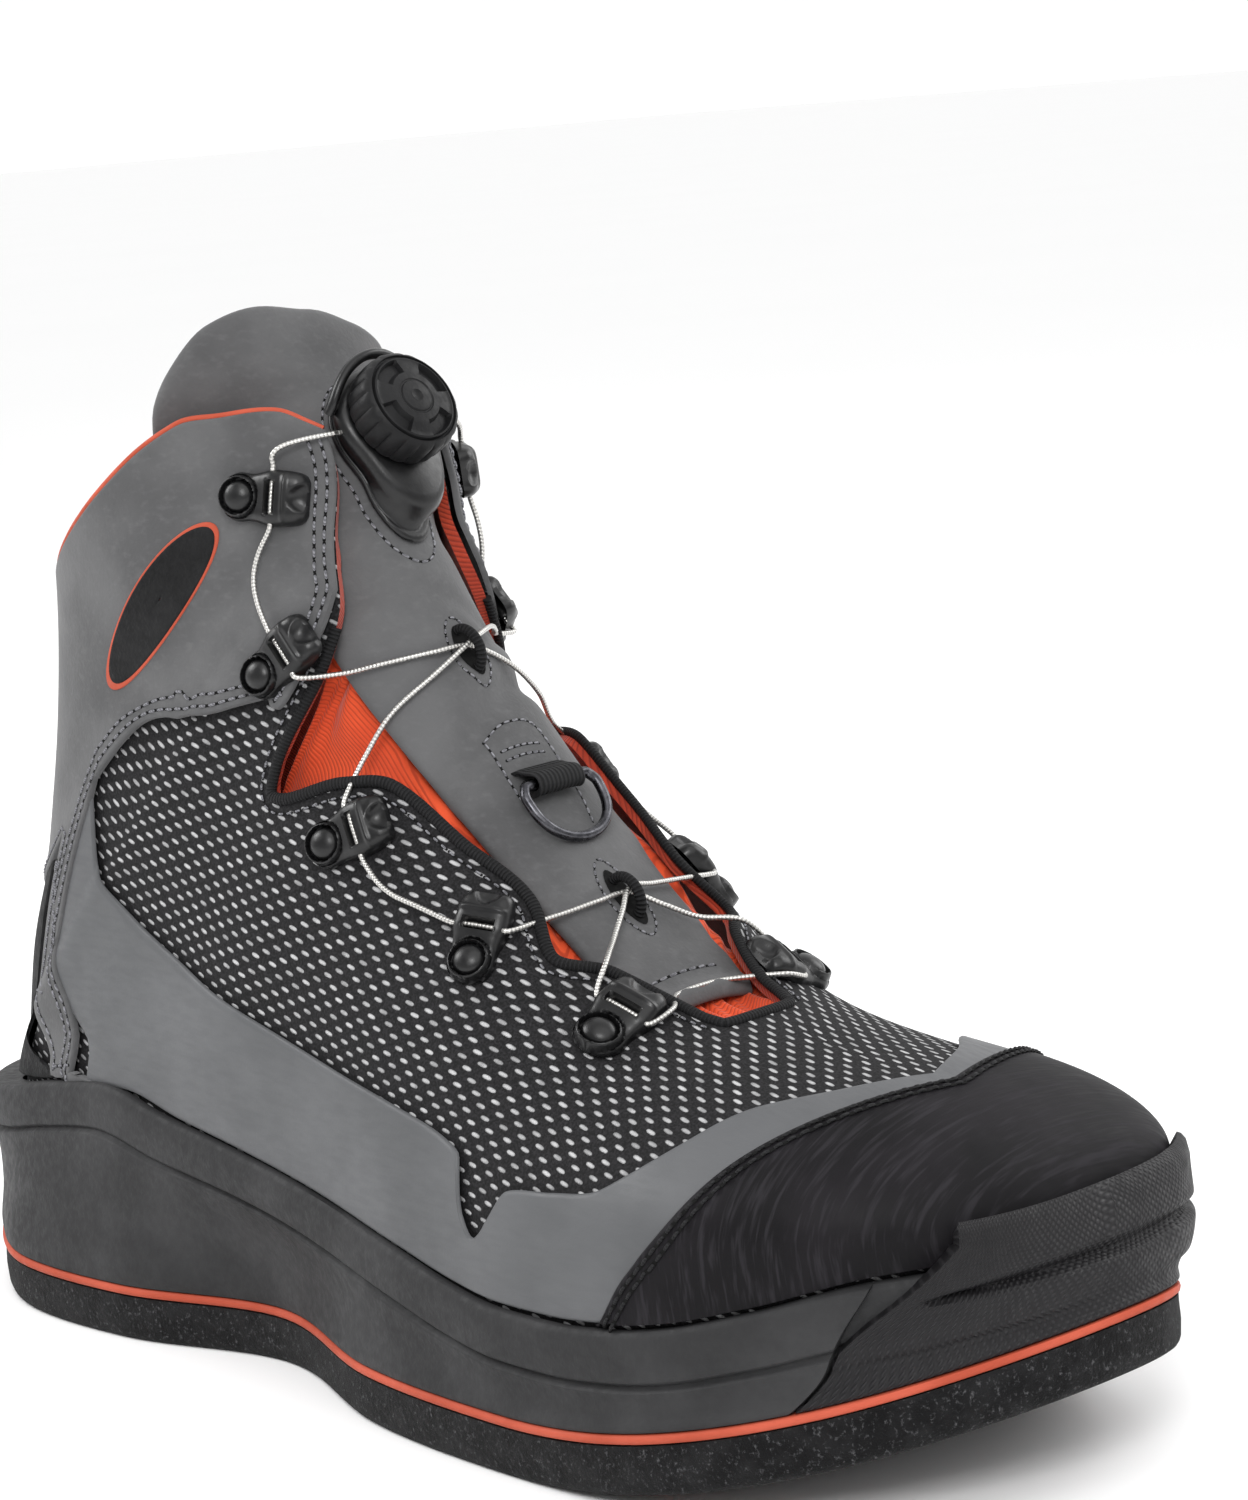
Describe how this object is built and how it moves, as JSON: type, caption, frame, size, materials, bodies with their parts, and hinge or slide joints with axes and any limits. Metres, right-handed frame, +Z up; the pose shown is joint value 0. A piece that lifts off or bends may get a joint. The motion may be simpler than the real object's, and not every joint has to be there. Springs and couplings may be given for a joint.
{
  "type": "wading boot",
  "caption": "Ankle-high wading boot with a felt sole, rubber toe guard, padded tongue and a dial-tensioned cable lace.",
  "frame": {"origin": "middle of the boot's length and width, on the floor under the sole", "axes": "+X towards the toe, +Y towards the wearer's inner side, +Z up"},
  "size_m": [0.3186, 0.1155, 0.2226],
  "materials": {
    "felt": "dense needled felt, charcoal with pale fibres",
    "orange_layer": "satin",
    "midsole_rubber": "satin, fine grain",
    "black_rubber": "fine grain",
    "mesh": "black fabric with slanted pale dashes",
    "rand": "smooth moulded film",
    "toe_film": "fine brushed lines",
    "nubuck": "napped",
    "neoprene": "fine twill",
    "black_plastic": "semi-gloss",
    "insole_foam": "matt",
    "webbing": "ribbed webbing and cord",
    "ring_steel": "dark satin",
    "cable": "stranded, coated"
  },
  "bodies": {
    "boot": {"felt_sole": "felt", "sole_line": "orange_layer", "midsole": "midsole_rubber", "toe_bumper": "black_rubber", "insole": "insole_foam", "upper": "mesh", "toe_cap": "toe_film", "side_rand": "rand", "heel_counter": "black_rubber", "cuff": "nubuck", "tongue": "nubuck", "gusset": "neoprene", "dial_base": "black_plastic", "dial_knob": "black_plastic", "pull_tab": "webbing", "ring_strap": "webbing", "tongue_loop_a": "webbing", "tongue_loop_b": "webbing", "guide_out_1": "black_plastic", "guide_out_2": "black_plastic", "guide_out_3": "black_plastic", "guide_out_4": "black_plastic", "guide_out_5": "black_plastic", "guide_in_1": "black_plastic", "guide_in_2": "black_plastic", "guide_in_3": "black_plastic", "guide_in_4": "black_plastic", "guide_in_5": "black_plastic", "lace_dial_out": "cable", "lace_dial_in": "cable", "lace_top_out": "cable", "lace_top_in": "cable", "lace_cross_a": "cable", "lace_mid_out": "cable", "lace_mid_in": "cable", "lace_cross_b": "cable", "lace_hem_out": "cable", "lace_hem_in": "cable"},
    "d_ring": {"d_ring": "ring_steel"}
  },
  "joints": [
    {"name": "ring_hinge", "type": "hinge", "parent": "boot", "child": "d_ring", "pos_m": [0.02142, 0.00256, 0.12336], "axis": [0.0119, -0.9998, -0.0145], "range_deg": [0, 150]}
  ]
}
